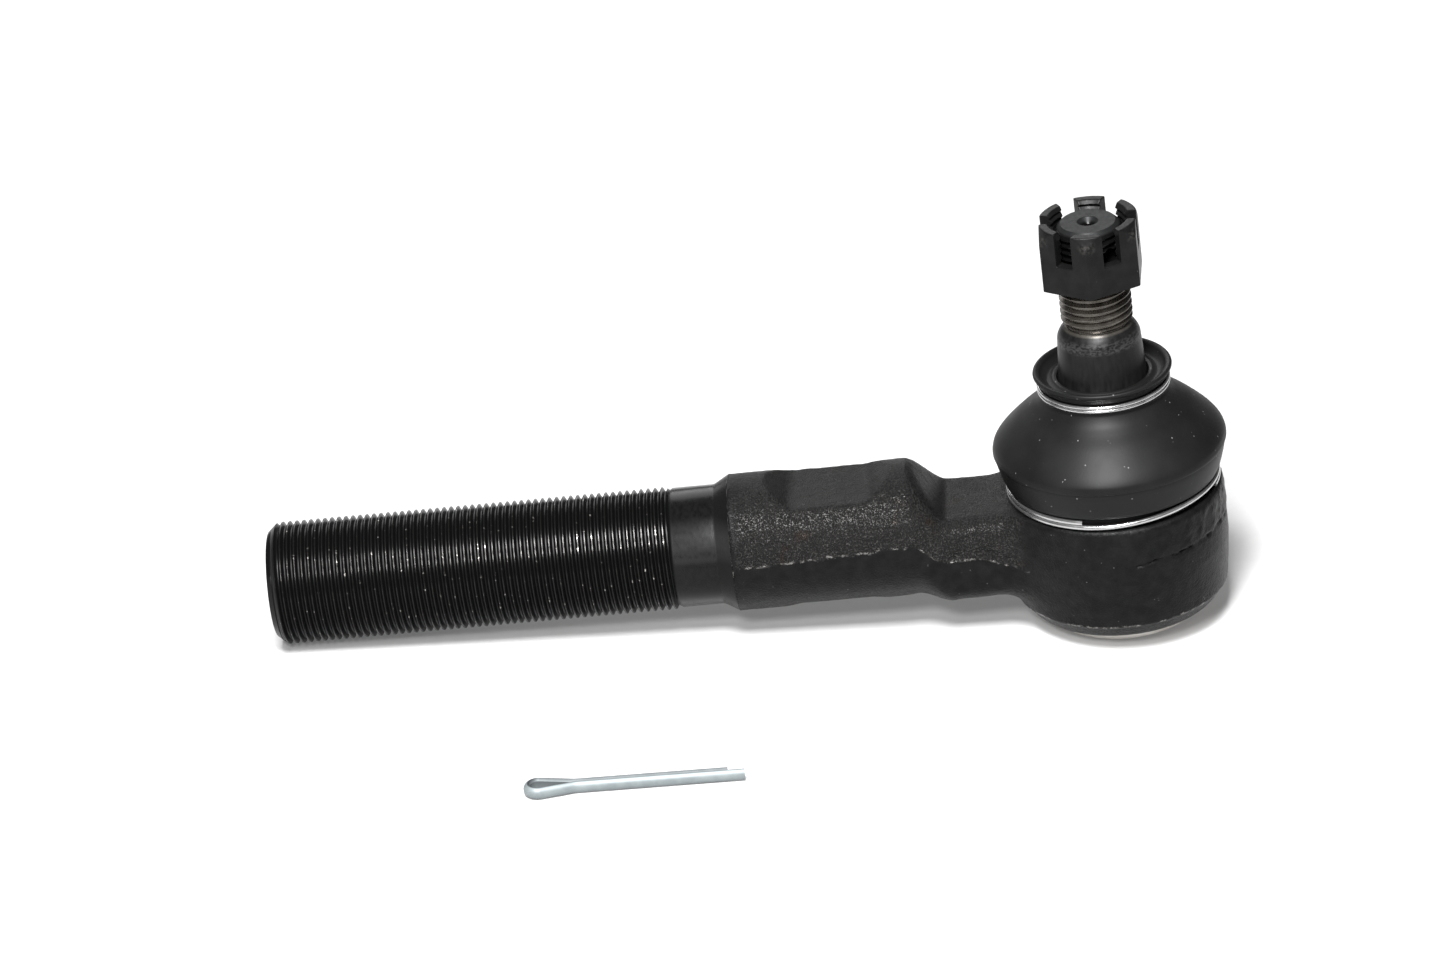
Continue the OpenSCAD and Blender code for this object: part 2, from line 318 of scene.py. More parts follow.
def surface_of(field, low, high, cell, rounds=4):
    """An all-quad mesh of a field's zero surface within a box: points, normals and quads."""
    axes = [np.arange(a, b + cell, cell) for a, b in zip(low, high)]
    values = field(*np.meshgrid(*axes, indexing="ij"))
    inside = values < 0
    corners = list(product((0, 1), repeat=3))
    shape = [len(a) - 1 for a in axes]

    def corner(array, c):
        return array[c[0] : c[0] + shape[0], c[1] : c[1] + shape[1], c[2] : c[2] + shape[2]]

    count = sum(corner(inside, c).astype(np.int8) for c in corners)
    cells = np.argwhere((count > 0) & (count < 8))
    index = np.full(shape, -1)
    index[tuple(cells.T)] = np.arange(len(cells))
    total, hits = np.zeros((len(cells), 3)), np.zeros((len(cells), 1))
    for start in corners:
        for axis in range(3):
            if start[axis]:
                continue
            move = np.eye(3, dtype=int)[axis]
            a = values[tuple((cells + start).T)]
            b = values[tuple((cells + start + move).T)]
            cross = (a < 0) != (b < 0)
            t = np.where(cross, a / np.where(cross, a - b, 1), 0)
            total += cross[:, None] * (start + t[:, None] * move)
            hits += cross[:, None]
    points = np.array(low) + (cells + total / hits) * cell
    quads = []
    for axis in range(3):
        b, c = np.eye(3, dtype=int)[[(axis + 1) % 3, (axis + 2) % 3]]
        lower = np.delete(inside, -1, axis)
        upper = np.delete(inside, 0, axis)
        edge = np.argwhere(lower != upper)
        ring = np.stack([index[tuple((edge - m).T)] for m in (0 * b, b, b + c, c)], 1)
        out = lower[tuple(edge.T)]
        quads.append(np.where(out[:, None], ring, ring[:, ::-1]))
    quads = np.concatenate(quads)
    points, normals = settle(field, points, quads, rounds, cell)
    return points, normals, quads


def fractal(points, size, octaves=3):
    """Smooth noise at points, about -1 to 1, with lumps of a size in millimetres."""
    return np.array([noise.fractal(Vector(p), 1.0, 2.0, octaves) for p in points / size])


# ---------------------------------------------------------------- materials


def shader(name, **sockets):
    """A material with a Principled shader, its tree and the shader node."""
    material = bpy.data.materials.new(name)
    material.use_nodes = True
    tree = material.node_tree
    principled = tree.nodes["Principled BSDF"]
    for key, value in sockets.items():
        principled.inputs[key.replace("_", " ")].default_value = value
    return material, tree, principled


def node(tree, kind, inputs=None, **settings):
    """A new node: inputs are values, or the output sockets that feed them."""
    made = tree.nodes.new("ShaderNode" + kind)
    for key, value in settings.items():
        setattr(made, key, value)
    for key, value in (inputs or {}).items():
        if isinstance(value, bpy.types.NodeSocket):
            tree.links.new(value, made.inputs[key])
        else:
            made.inputs[key].default_value = value
    return made


def place(tree, stretch=(1, 1, 1)):
    """Places on the piece in its own frame, in metres, stretched along each axis."""
    return node(tree, "Mapping", {
        "Vector": node(tree, "TexCoord").outputs["Object"], "Scale": stretch,
    }).outputs["Vector"]


def own_axis(tree, axis):
    """How far along one of its own axes a place on the piece is, in metres."""
    return node(tree, "SeparateXYZ", {0: node(tree, "TexCoord").outputs["Object"]}).outputs[axis]


def written(tree, name):
    """A number that write_values kept for each point, and 0 on a piece that has none."""
    return node(tree, "Attribute", attribute_name=name).outputs["Fac"]


def grain(tree, size, detail=3.0, roughness=0.55, stretch=(1, 1, 1)):
    """Noise with grains of a size in millimetres."""
    return node(tree, "TexNoise", {
        "Vector": place(tree, stretch), "Scale": 1 / (size * MM), "Detail": detail,
        "Roughness": roughness,
    }).outputs["Fac"]


def remap(tree, value, low, high, to_low=0.0, to_high=1.0):
    """A value's range stretched to another, and held within it."""
    return node(tree, "MapRange", {
        "Value": value, "From Min": low, "From Max": high, "To Min": to_low, "To Max": to_high,
    }).outputs["Result"]


def maths(tree, operation, a, b):
    """One step of arithmetic on two values or sockets."""
    return node(tree, "Math", {0: a, 1: b}, operation=operation).outputs["Value"]


def within(tree, value, start, full, fade, end):
    """1 from full to fade, and down to 0 at start and end, all in millimetres."""
    rise = remap(tree, value, start * MM, full * MM)
    return maths(tree, "MULTIPLY", rise, remap(tree, value, end * MM, fade * MM))


def tint(tree, factor, first, second):
    """A colour between two, or between another colour's socket and one."""
    return node(tree, "Mix", {"Factor": factor, 6: first, 7: second}, data_type="RGBA").outputs[2]


def bump(tree, height, distance, strength=1.0, below=None):
    """A normal tilted by a height of up to a distance in millimetres, on top of another normal."""
    inputs = {"Height": height, "Distance": distance * MM, "Strength": strength}
    if below is not None:
        inputs["Normal"] = below
    return node(tree, "Bump", inputs).outputs["Normal"]


def join(tree, principled, colour=None, roughness=None, normal=None):
    """Feeds the shader's colour, roughness and normal."""
    for key, value in (("Base Color", colour), ("Roughness", roughness), ("Normal", normal)):
        if value is not None:
            tree.links.new(value, principled.inputs[key])


def specks(tree, size, share):
    """1 in a few small spots and 0 elsewhere, for dust and nicks."""
    spots = node(tree, "TexVoronoi", {"Vector": place(tree), "Scale": 1 / (size * MM)})
    some = maths(tree, "GREATER_THAN", grain(tree, size * 2.3, 1.0), 1 - share)
    near = remap(tree, spots.outputs["Distance"], 0.10, 0.22, 1.0, 0.0)
    return maths(tree, "MULTIPLY", some, near)


def grey(level, warm=0.0):
    """A linear grey, made a little warmer or cooler."""
    return (level * (1 + warm), level, level * (1 - warm), 1)


def machined_black():
    """Oiled black steel with turning marks. The thread's crests are rubbed, and bright in places.
    The neck behind the thread is smooth, with a paler band on its upper half that is partly rubbed
    steel and partly a painted highlight."""
    material, tree, principled = shader("machined_black", Specular_IOR_Level=0.1)
    marks = grain(tree, 0.35, 2.0, stretch=(6, 0.4, 0.4))
    crest = remap(tree, written(tree, "wear_and_seam_shade"), 0.80, 1.0)
    along = own_axis(tree, "X")
    thread_end, neck_end = SHANK_END + THREAD_FROM + THREAD_L, SHANK_END + NECK_TO
    neck = maths(tree, "MULTIPLY", remap(tree, along, thread_end * MM, (thread_end + 0.6) * MM),
                 remap(tree, along, (neck_end - 0.4) * MM, neck_end * MM, 1.0, 0.25))
    nicks = remap(tree, grain(tree, 0.9, 4.0, stretch=(0.5, 1, 1)), 0.63, 0.71)
    scuffs = remap(tree, grain(tree, 1.3, 5.0, stretch=(1.6, 1, 1)), 0.35, 0.65, 0.75, 1.0)
    bright = maths(tree, "MAXIMUM", crest, maths(tree, "MULTIPLY", neck, scuffs))
    colour = tint(tree, crest, grey(0.003), grey(0.018, 0.02))
    colour = tint(tree, neck, colour, grey(0.013))
    # the neck's paler band: rubbed steel, and partly a painted highlight on its upper half
    band = within(tree, own_axis(tree, "Z"), *NECK_RUB_AND_HIGHLIGHT)
    rubbed = maths(tree, "MULTIPLY", maths(tree, "MULTIPLY", neck, band), scuffs)
    colour = tint(tree, rubbed, colour, grey(0.055))
    colour = tint(tree, maths(tree, "MULTIPLY", crest, nicks), colour, grey(0.35, 0.06))
    tree.links.new(maths(tree, "MULTIPLY", bright, 0.75), principled.inputs["Metallic"])
    rough = maths(tree, "SUBTRACT", remap(tree, marks, 0.3, 0.7, 0.28, 0.38),
                  maths(tree, "MULTIPLY", bright, 0.13))
    join(tree, principled, colour, rough, bump(tree, marks, 0.003, 0.5))
    return material


def forged_skin():
    """Black scale, coarse above the die line and finer below it, with a little rust on the coarse
    part, bright burrs along the line and a broken painted highlight on the housing's lower edge."""
    material, tree, principled = shader("forged_skin", Metallic=0.7, Specular_IOR_Level=0.1)
    coarse, above = written(tree, "coarse"), written(tree, "above")
    pebble = grain(tree, 0.38, 2.0, 0.5)
    fine = grain(tree, 0.3, 2.0, 0.5)
    lumps = grain(tree, 2.4, 3.0)
    peaks = remap(tree, pebble, 0.42, 0.66)
    height = maths(tree, "MULTIPLY", peaks, remap(tree, coarse, 0.0, 1.0, 0.10, 0.9))
    normal = bump(tree, height, 0.38, 1.0)
    normal = bump(tree, fine, 0.04, 0.5, normal)
    colour = tint(tree, remap(tree, lumps, 0.35, 0.7), grey(0.009), grey(0.014))
    bright = maths(tree, "MULTIPLY", coarse, remap(tree, pebble, 0.46, 0.72))
    colour = tint(tree, maths(tree, "MULTIPLY", coarse, 0.5), colour, grey(0.025, 0.02))
    colour = tint(tree, bright, colour, grey(0.06, 0.03))
    rust = maths(tree, "MULTIPLY", coarse, remap(tree, grain(tree, 6.0, 4.0), 0.6, 0.72))
    colour = tint(tree, maths(tree, "MULTIPLY", rust, 0.35), colour, (0.045, 0.024, 0.013, 1))
    wander = maths(tree, "ADD", above, remap(tree, fine, 0.3, 0.7, -0.25, 0.25))
    line = remap(tree, maths(tree, "ABSOLUTE", wander, 0.0), 0.05, 0.30, 1.0, 0.0)
    # bright burrs on the die line, and a painted highlight along the housing's lower edge
    burr_and_edge_highlight = maths(tree, "MULTIPLY", line, remap(tree, grain(tree, 1.6, 3.0), 0.46, 0.62))
    colour = tint(tree, burr_and_edge_highlight, colour, grey(0.25, 0.04))
    colour = tint(tree, specks(tree, 0.7, 0.30), colour, grey(0.14))
    rough = remap(tree, pebble, 0.3, 0.7, 0.38, 0.52)
    join(tree, principled, colour, rough, normal)
    return material


def boot_rubber():
    """Satin moulded rubber with dust."""
    material, tree, principled = shader("boot_rubber", Specular_IOR_Level=0.155)
    fine = grain(tree, 0.5, 4.0)
    cloud = grain(tree, 9.0, 3.0)
    colour = tint(tree, remap(tree, cloud, 0.3, 0.7), grey(0.0045), grey(0.007))
    colour = tint(tree, specks(tree, 0.9, 0.33), colour, grey(0.14))
    rough = remap(tree, cloud, 0.3, 0.7, 0.44, 0.52)
    join(tree, principled, colour, rough, bump(tree, fine, 0.015, 0.6))
    return material


def stud_finish():
    """Black taper with a rubbed band, a worn brown thread that is darker from the nut's seat up, and
    a plain grey end."""
    material, tree, principled = shader("stud_finish", Specular_IOR_Level=0.19)
    height = own_axis(tree, "Z")
    thread = remap(tree, height, (STUD_THREAD_Z - 0.7) * MM, (STUD_THREAD_Z - 0.1) * MM)
    end = remap(tree, height, (STUD_TOP - 1.0) * MM, (STUD_TOP - 0.6) * MM)
    band = within(tree, height, *STUD_BAND)
    streaks = grain(tree, 0.9, 3.0, stretch=(1, 1, 0.25))
    fine = grain(tree, 0.25, 2.0)
    colour = tint(tree, remap(tree, streaks, 0.35, 0.7), grey(0.005), grey(0.009))
    scuffs = grain(tree, 0.7, 4.0, stretch=(1, 1, 2))
    rubbed = maths(tree, "MULTIPLY", band, remap(tree, scuffs, 0.42, 0.62, 0.0, 0.8))
    colour = tint(tree, rubbed, colour, grey(0.06))
    steel = tint(tree, remap(tree, grain(tree, 3.0, 2.0), 0.35, 0.65), (0.075, 0.068, 0.060, 1),
                 (0.125, 0.115, 0.103, 1))
    colour = tint(tree, thread, colour, steel)
    # darker from the nut's seat upward
    dark_from_nut_seat = remap(tree, height, (NUT_BOTTOM - 0.3) * MM, (NUT_BOTTOM + 0.5) * MM)
    colour = tint(tree, dark_from_nut_seat, colour, grey(0.012))
    colour = tint(tree, end, colour, grey(0.014, -0.03))
    shine = maths(tree, "SUBTRACT", maths(tree, "MAXIMUM", thread, rubbed),
                  maths(tree, "MULTIPLY", end, 0.7))
    tree.links.new(remap(tree, shine, 0.0, 1.0, 0.25, 0.85), principled.inputs["Metallic"])
    rough = maths(tree, "SUBTRACT", remap(tree, streaks, 0.3, 0.7, 0.34, 0.46),
                  maths(tree, "MULTIPLY", thread, 0.12))
    rough = maths(tree, "ADD", rough, maths(tree, "MULTIPLY", end, 0.2))
    join(tree, principled, colour, rough, bump(tree, fine, 0.006, 0.4))
    return material


def nut_black():
    """Black oxide over milled steel, with rubbed corners and fine nicks."""
    material, tree, principled = shader("nut_black", Specular_IOR_Level=0.10)
    marks = grain(tree, 0.5, 4.0, stretch=(1, 1, 0.3))
    colour = tint(tree, remap(tree, grain(tree, 3.5), 0.35, 0.65), grey(0.004), grey(0.007))
    nicked = remap(tree, grain(tree, 0.7, 4.0), 0.45, 0.65)
    rubbed = maths(tree, "MULTIPLY", written(tree, "wear_and_seam_shade"), nicked)
    colour = tint(tree, rubbed, colour, grey(0.03, 0.05))
    colour = tint(tree, specks(tree, 0.6, 0.30), colour, grey(0.10))
    rough = remap(tree, marks, 0.3, 0.7, 0.28, 0.42)
    join(tree, principled, colour, rough, bump(tree, marks, 0.02, 0.6))
    return material


def zinc(name, light, dull, metallic, rough):
    """Zinc plate, clouded between a light and a dull tone, with painted shade where a folded
    wire's legs meet.
    """
    material, tree, principled = shader(name, Metallic=metallic, Specular_IOR_Level=0.5)
    cloud = grain(tree, 2.5, 2.0)
    colour = tint(tree, remap(tree, cloud, 0.35, 0.65), dull, light)
    # painted shade, dark where a folded wire's legs meet
    colour = tint(tree, written(tree, "wear_and_seam_shade"), colour, grey(0.04, -0.1))
    join(tree, principled, colour, remap(tree, cloud, 0.3, 0.7, *rough))
    return material


def cover_steel():
    """Pressed plated steel, a little stained."""
    material, tree, principled = shader("cover_steel", Metallic=0.5)
    stain = grain(tree, 4.0, 5.0)
    colour = tint(tree, remap(tree, stain, 0.4, 0.68), (0.66, 0.64, 0.61, 1),
                  (0.50, 0.46, 0.42, 1))
    colour = tint(tree, specks(tree, 1.0, 0.33), colour, grey(0.2, 0.2))
    join(tree, principled, colour, remap(tree, stain, 0.3, 0.7, 0.34, 0.55),
         bump(tree, grain(tree, 0.3, 3.0), 0.02, 0.5))
    return material


def seat_polymer():
    """Moulded acetal with a faint grain and grease."""
    material, tree, principled = shader("seat_polymer", Specular_IOR_Level=0.5)
    cloud = grain(tree, 5.0, 4.0)
    colour = tint(tree, remap(tree, cloud, 0.3, 0.7), (0.68, 0.63, 0.50, 1), (0.76, 0.72, 0.60, 1))
    join(tree, principled, colour, remap(tree, cloud, 0.3, 0.7, 0.3, 0.5),
         bump(tree, grain(tree, 0.4, 2.0), 0.01, 0.4))
    return material


def spring_steel():
    """Tempered spring steel, straw to blue."""
    material, tree, principled = shader("spring_steel", Metallic=1.0)
    cloud = grain(tree, 6.0, 4.0)
    colour = tint(tree, remap(tree, cloud, 0.35, 0.65), (0.34, 0.33, 0.36, 1),
                  (0.46, 0.42, 0.36, 1))
    join(tree, principled, colour, remap(tree, cloud, 0.3, 0.7, 0.25, 0.42),
         bump(tree, grain(tree, 0.3, 2.0), 0.01, 0.5))
    return material


# ---------------------------------------------------------------- the forging

GRIP_START = -80.7
DROP_FROM, DROP_TO = -43.4, -35.0
ARM_HALF_W, ARM_TOP, ARM_BOTTOM, ARM_EDGE = 12.8, 8.7, -10.4, 4.6
ARM_INTO = -10.0
FLAT_FROM, FLAT_TO, FLAT_HALF, FLAT_END_SLOPE = -68.0, -51.5, 11.2, 1.5
SHOULDER_Z, PARTING_Z = 9.3, -2.5
EDGE_R, EDGE_Z, LIP_BOTTOM = 22.3, -13.6, -17.2
FILLET = 6.0

DRUM = [(0, LIP_BOTTOM), (18.7, LIP_BOTTOM), (19.4, -17.0), (20.2, -16.3), (21.2, -15.0),
        (EDGE_R - 0.3, EDGE_Z - 0.3), (EDGE_R, EDGE_Z), (HOUSING_R, PARTING_Z - 1),
        (HOUSING_R, PARTING_Z + 1), (HOUSING_R - 0.3, SHOULDER_Z - 1.2),
        (HOUSING_R - 0.6, SHOULDER_Z - 0.45), (HOUSING_R - 1.2, SHOULDER_Z), (0, SHOULDER_Z)]
SPIGOT = [(0, 0), (18.9, 0), (18.9, 11.8), (19.6, 12.4), (19.6, 13.4), (0, 13.4)]
CAVITY = [(0, -20), (18.2, -20), (18.2, -16.8), (19, -16.8), (19, -15.2), (16.6, -15.2),
          (16.6, 8.6), (12.3, 8.6), (15.4, 13), (15.4, 15), (0, 15)]

# relief of the forged skin: heights and half widths
BURR_H, BURR_W, STEP_H = 0.42, 0.38, 0.16
LAP_H, LAP_DEPTH, LAP_W = 0.25, 0.65, 0.42
GROOVE_DEPTH, GROOVE_W, GROOVE_UP = 0.35, 0.8, 1.7
SKIN_CELL = 0.42
SOCKET_CLEAR_R = 20.2  # nothing of the bored socket lies beyond this radius
FAR = 9.0  # further from a line than any line is wide


def bar_field(x, y, z):
    """The round section, its drop and the flat arm."""
    drop = ramp(x, DROP_FROM, DROP_TO)
    top = mix(SHANK_RISE + GRIP_R, ARM_TOP, drop)
    bottom = mix(SHANK_RISE - GRIP_R, ARM_BOTTOM, ramp(x, DROP_FROM - 6, DROP_TO + 3))
    bottom = bottom + 0.6 * ramp(x, -31, -19)
    half_h = (top - bottom) / 2
    half_w = mix(GRIP_R, ARM_HALF_W, ramp(x, DROP_FROM - 2, DROP_TO + 2))
    edge = np.minimum(mix(GRIP_R, ARM_EDGE, drop), np.minimum(half_w, half_h))
    across = rounded_bar(y, z - (top + bottom) / 2, half_w, half_h, edge)
    return np.maximum(across, np.maximum(GRIP_START - x, x - ARM_INTO))


def flat_field(x, z, side):
    """What a wrench flat takes away, with sloped ends."""
    deep = side * (z - SHANK_RISE) - FLAT_HALF
    ends = np.maximum(FLAT_FROM - x, x - FLAT_TO) - FLAT_END_SLOPE * deep
    return smooth_max(-deep, ends / math.hypot(1, FLAT_END_SLOPE), 0.9)


def forging_field(x, y, z):
    """The whole forging with the socket bored out."""
    r = np.hypot(x, y)
    solid = smooth_min(bar_field(x, y, z), polygon_field(DRUM, r, z), FILLET)
    ceiling = z - SHOULDER_Z - 30 * ramp(-x, 27, 34)
    solid = smooth_max(solid, ceiling, 0.5)
    solid = np.minimum(solid, polygon_field(SPIGOT, r, z))
    for side in (-1, 1):
        solid = smooth_max(solid, -flat_field(x, z, side), 0.4)
    return np.maximum(solid, -polygon_field(CAVITY, r, z))


def die_line(x):
    """Height of the line where the two forging dies met."""
    grip = 5.5 + 0.04 * (x - DROP_FROM)
    return mix(mix(grip, 0.6, ramp(x, DROP_FROM, DROP_TO - 1)), -2.6, ramp(x, -30, -18))


def lap_line(x):
    """Height of a fold in the skin, round the half of the housing away from the shank."""
    return 1.1 + 1.0 * (x / 21) ** 2


def bell(x, width):
    """1 at 0, falling smoothly on both sides to nearly 0 at twice the width."""
    return np.exp(-((x / width) ** 2))


def forging():
    """The forging's mesh, with its die line, its coarse upper skin and small dents."""
    low = (GRIP_START - 2, -25, -19)
    high = (HOUSING_R + 1.5, 25, SHANK_RISE + GRIP_R + 1.5)
    points, normals, quads = surface_of(forging_field, low, high, SKIN_CELL)
    x, y, z = points.T
    r = np.hypot(x, y)
    sides = ramp(np.hypot(normals[:, 1], normals[:, 0] * (x > 0)), 0.55, 0.85)
    outside = r > SOCKET_CLEAR_R
    wander = 0.35 * fractal(points * (1, 0, 0) + (0, 7, 0), 2.2) + 0.12 * fractal(points, 1.0)

    # the die line: a burr, a small step, and a groove above it on the arm
    height = z - die_line(x) - wander
    on_bar = ramp(-x, 17, 24)
    strength = np.clip(0.6 + 0.9 * fractal(points, 3.5), 0.05, 1.2) * on_bar
    burr = BURR_H * strength * bell(height, BURR_W)
    step = STEP_H * ramp(height, -0.3, 0.3) * on_bar
    on_arm = ramp(x, -38, -34) * ramp(-x, 18, 24)
    groove = GROOVE_DEPTH * bell(height - GROOVE_UP, GROOVE_W) * on_arm

    # the fold on the housing
    fold = z - lap_line(x) - 2.0 * wander
    torn = (0.5 + 0.8 * fractal(points, 2.0)).clip(0.2, 1.2)
    lap = LAP_H * ramp(fold, -0.25, 0.25) - LAP_DEPTH * bell(fold + 0.2, LAP_W)
    step += lap * torn * ramp(x, -1, 5)

    # the coarse skin above the line
    coarse = ramp(height, -0.2, 0.4) * ramp(-x, 18, 25)
    coarse *= mix(0.2, 1.0, ramp(np.abs(normals[:, 1]), 0.25, 0.7))
    coarse *= ramp(x, GRIP_START, GRIP_START + 4)
    skin = (0.03 + 0.10 * coarse) * fractal(points, 1.5) + 0.04 * fractal(points, 9.0)

    below_ring = ramp(SHOULDER_Z - z, 0.2, 1.5) + (x < -24)
    move = (sides * (burr + step - groove) + skin - 0.06) * outside * np.clip(below_ring, 0, 1)
    move *= ramp(x, GRIP_START - 0.2, GRIP_START + 1.0) * ramp(z, LIP_BOTTOM + 0.5, EDGE_Z)
    points = points + normals * move[:, None]
    materials = [forged_skin(), machined_black()]
    forged = new_object("forging", points, quads.tolist(), materials, 60)
    write_values(forged, "coarse", np.clip(coarse, 0, 1))
    on_line = sides * outside * on_bar
    # the housing's lower edge, which the skin's material paints as a thin bright line: a painted highlight
    corner = np.where(r > 21, z - EDGE_Z + 0.3 * wander, FAR)
    write_values(forged, "above", np.where(on_line > 0.15, height, corner).clip(-FAR, FAR))
    return forged


THREAD_PITCH = 1.5
THREAD_FROM, THREAD_L = 2.3, 83.5
NECK_R, NECK_TO, FLARE_TO = 12.65, 95.3, 98.2
NECK_RUB_AND_HIGHLIGHT = (5.0, 8.5, 10.5, 13.5)  # heights of the band, rubbed and partly a painted highlight: start, full, fade and end


def threaded_shank():
    """The machined end: chamfer, thread, plain neck and flare. Built along +Z, then laid down."""
    root = SHANK_R - DEPTH_PER_PITCH * THREAD_PITCH
    thread_to = THREAD_FROM + THREAD_L
    rod = threaded_rod("thread", SHANK_R, THREAD_PITCH, thread_to, 96)
    hull = lathe("hull", [(0, 0), (11.2, 0), (SHANK_R, 2.0), (SHANK_R + 0.2, 3.4),
                          (SHANK_R + 0.2, thread_to - 1.2), (root - 0.05, thread_to),
                          (root - 0.05, thread_to + 1), (0, thread_to + 1)], 96)
    combine(rod, hull, "INTERSECT")
    core = lathe("core", [(0, 0), (10.9, 0), (11.2, 0.25), (12.6, 1.7), (12.5, 1.95),
                          (root + 0.03, 2.5), (root + 0.03, 2.7), (root - 0.4, 2.8),
                          (root - 0.4, thread_to - 1.6), (root + 0.02, thread_to - 0.4),
                          (NECK_R, thread_to + 0.5), (NECK_R, NECK_TO - 0.4),
                          (NECK_R + 0.1, NECK_TO), (GRIP_R - 0.25, FLARE_TO - 0.3),
                          (GRIP_R - 0.12, FLARE_TO), (GRIP_R - 0.6, FLARE_TO + 0.4),
                          (GRIP_R - 0.8, FLARE_TO + 4), (0, FLARE_TO + 4)], 128)
    combine(rod, core, "UNION")
    rod.data.transform(Matrix.Translation((SHANK_END * MM, 0, SHANK_RISE * MM))
                       @ Matrix.Rotation(math.radians(90), 4, "Y"))
    return rod


def mark_wear(obj):
    """Writes where a thread's crests are worn, for its material."""
    count = len(obj.data.vertices)
    co = np.zeros(count * 3, np.float32)
    obj.data.vertices.foreach_get("co", co)
    x, y, z = co.reshape(-1, 3).T / MM
    r = np.hypot(y, z - SHANK_RISE)
    wear_and_seam_shade = ramp(r, SHANK_R - 0.5, SHANK_R - 0.02) * (x < SHANK_END + THREAD_FROM + THREAD_L - 0.6)
    write_values(obj, "wear_and_seam_shade", wear_and_seam_shade)


def forged_body():
    """The forging and its machined shank as one piece, each with its own finish."""
    body = forging()
    body.name = "forged_body_skin"
    combine(body, threaded_shank(), "UNION")
    centres = np.zeros(3 * len(body.data.polygons), np.float32)
    body.data.polygons.foreach_get("center", centres)
    machined = centres[::3] < GRIP_START * MM
    body.data.polygons.foreach_set("material_index", machined.astype(np.int32))
    soften(body, 42)
    mark_wear(body)
    return body


# ---------------------------------------------------------------- the ball stud

STUD_R, STUD_PITCH = 7.5, 1.5
BALL_FLAT_Z = -11.4
NECK_STUD_R, NECK_TOP = 7.0, 15.0
COLLAR_R, COLLAR_Z, TAPER_Z = 9.4, 22.0, 34.6
TAPER_TOP_R, TAPER_TOP_Z = 8.7, 43.8
STUD_THREAD_Z = 47.0
STUD_BAND = (42.7, 43.5, 44.8, 45.6)  # the rubbed band's heights: start, full, fade and end
CROSS_HOLE_Z, CROSS_HOLE_R, CROSS_HOLE_TURN = 64.2, 1.75, 33


def ball_stud():
    """Ball, neck, taper and rolled thread, with a centre drilling and the split pin's hole."""
    metal = stud_finish()
    root = STUD_R - DEPTH_PER_PITCH * STUD_PITCH
    flat = math.degrees(math.asin(BALL_FLAT_Z / BALL_R))
    neck = math.degrees(math.acos(NECK_STUD_R / BALL_R))
    outline = [(0, BALL_FLAT_Z), *arc((0, 0), BALL_R, flat, neck, 40)[1:]]
    outline += curve_through([(NECK_STUD_R, 12.0), (NECK_STUD_R, NECK_TOP), (8.0, 18.4),
                              (COLLAR_R - 0.1, COLLAR_Z)], 6)
    outline += [(COLLAR_R, COLLAR_Z + 0.6), (COLLAR_R, TAPER_Z - 0.3), (9.2, TAPER_Z)]
    outline += [(TAPER_TOP_R, TAPER_TOP_Z)]
    outline += curve_through([(TAPER_TOP_R - 0.06, TAPER_TOP_Z + 0.4), (8.45, TAPER_TOP_Z + 0.95),
                              (7.9, TAPER_TOP_Z + 1.9), (7.1, STUD_THREAD_Z - 0.4),
                              (root - 0.05, STUD_THREAD_Z)], 5)
    outline += [(root - 0.05, STUD_TOP - 1.5), (5.7, STUD_TOP - 0.2), (0, STUD_TOP - 0.2)]
    stud = lathe("ball_stud_turned", outline, 160, [metal])
    rod = threaded_rod("stud_thread", STUD_R, STUD_PITCH, STUD_TOP - STUD_THREAD_Z, 80, [metal])
    rod.data.transform(Matrix.Translation((0, 0, STUD_THREAD_Z * MM)))
    hull = lathe("hull", [(0, STUD_THREAD_Z - 0.3), (root - 0.4, STUD_THREAD_Z - 0.3),
                          (STUD_R + 0.1, STUD_THREAD_Z + 1.2), (STUD_R + 0.1, STUD_TOP - 1.9),
                          (5.85, STUD_TOP - 0.12), (5.7, STUD_TOP), (0, STUD_TOP)], 80, [metal])
    combine(rod, hull, "INTERSECT")
    combine(stud, rod, "UNION")
    drilling = lathe("drilling", [(0, STUD_TOP - 3.2), (1.1, STUD_TOP - 2.6),
                                  (1.15, STUD_TOP - 1.2), (2.25, STUD_TOP - 0.1),
                                  (2.4, STUD_TOP + 1), (0, STUD_TOP + 1)], 48, [metal])
    combine(stud, drilling, "DIFFERENCE")
    hole = lathe("hole", [(0, -9), (CROSS_HOLE_R, -9), (CROSS_HOLE_R, 9), (0, 9)], 40, [metal])
    hole.data.transform(Matrix.Translation((0, 0, CROSS_HOLE_Z * MM))
                        @ Matrix.Rotation(math.radians(CROSS_HOLE_TURN), 4, "Z")
                        @ Matrix.Rotation(math.radians(90), 4, "X"))
    combine(stud, hole, "DIFFERENCE")
    soften(stud, 35)
    return stud


# ---------------------------------------------------------------- the castle nut

NUT_HALF_AF, NUT_SOLID_H, NUT_TURN = 10.0, 6.4, 26.5
SLOT_HALF_W, NUT_BORE_R = 1.95, 7.62
NUT_THREAD_DEPTH, NUT_EDGE, NUT_CELL = 0.62, 0.15, 0.18


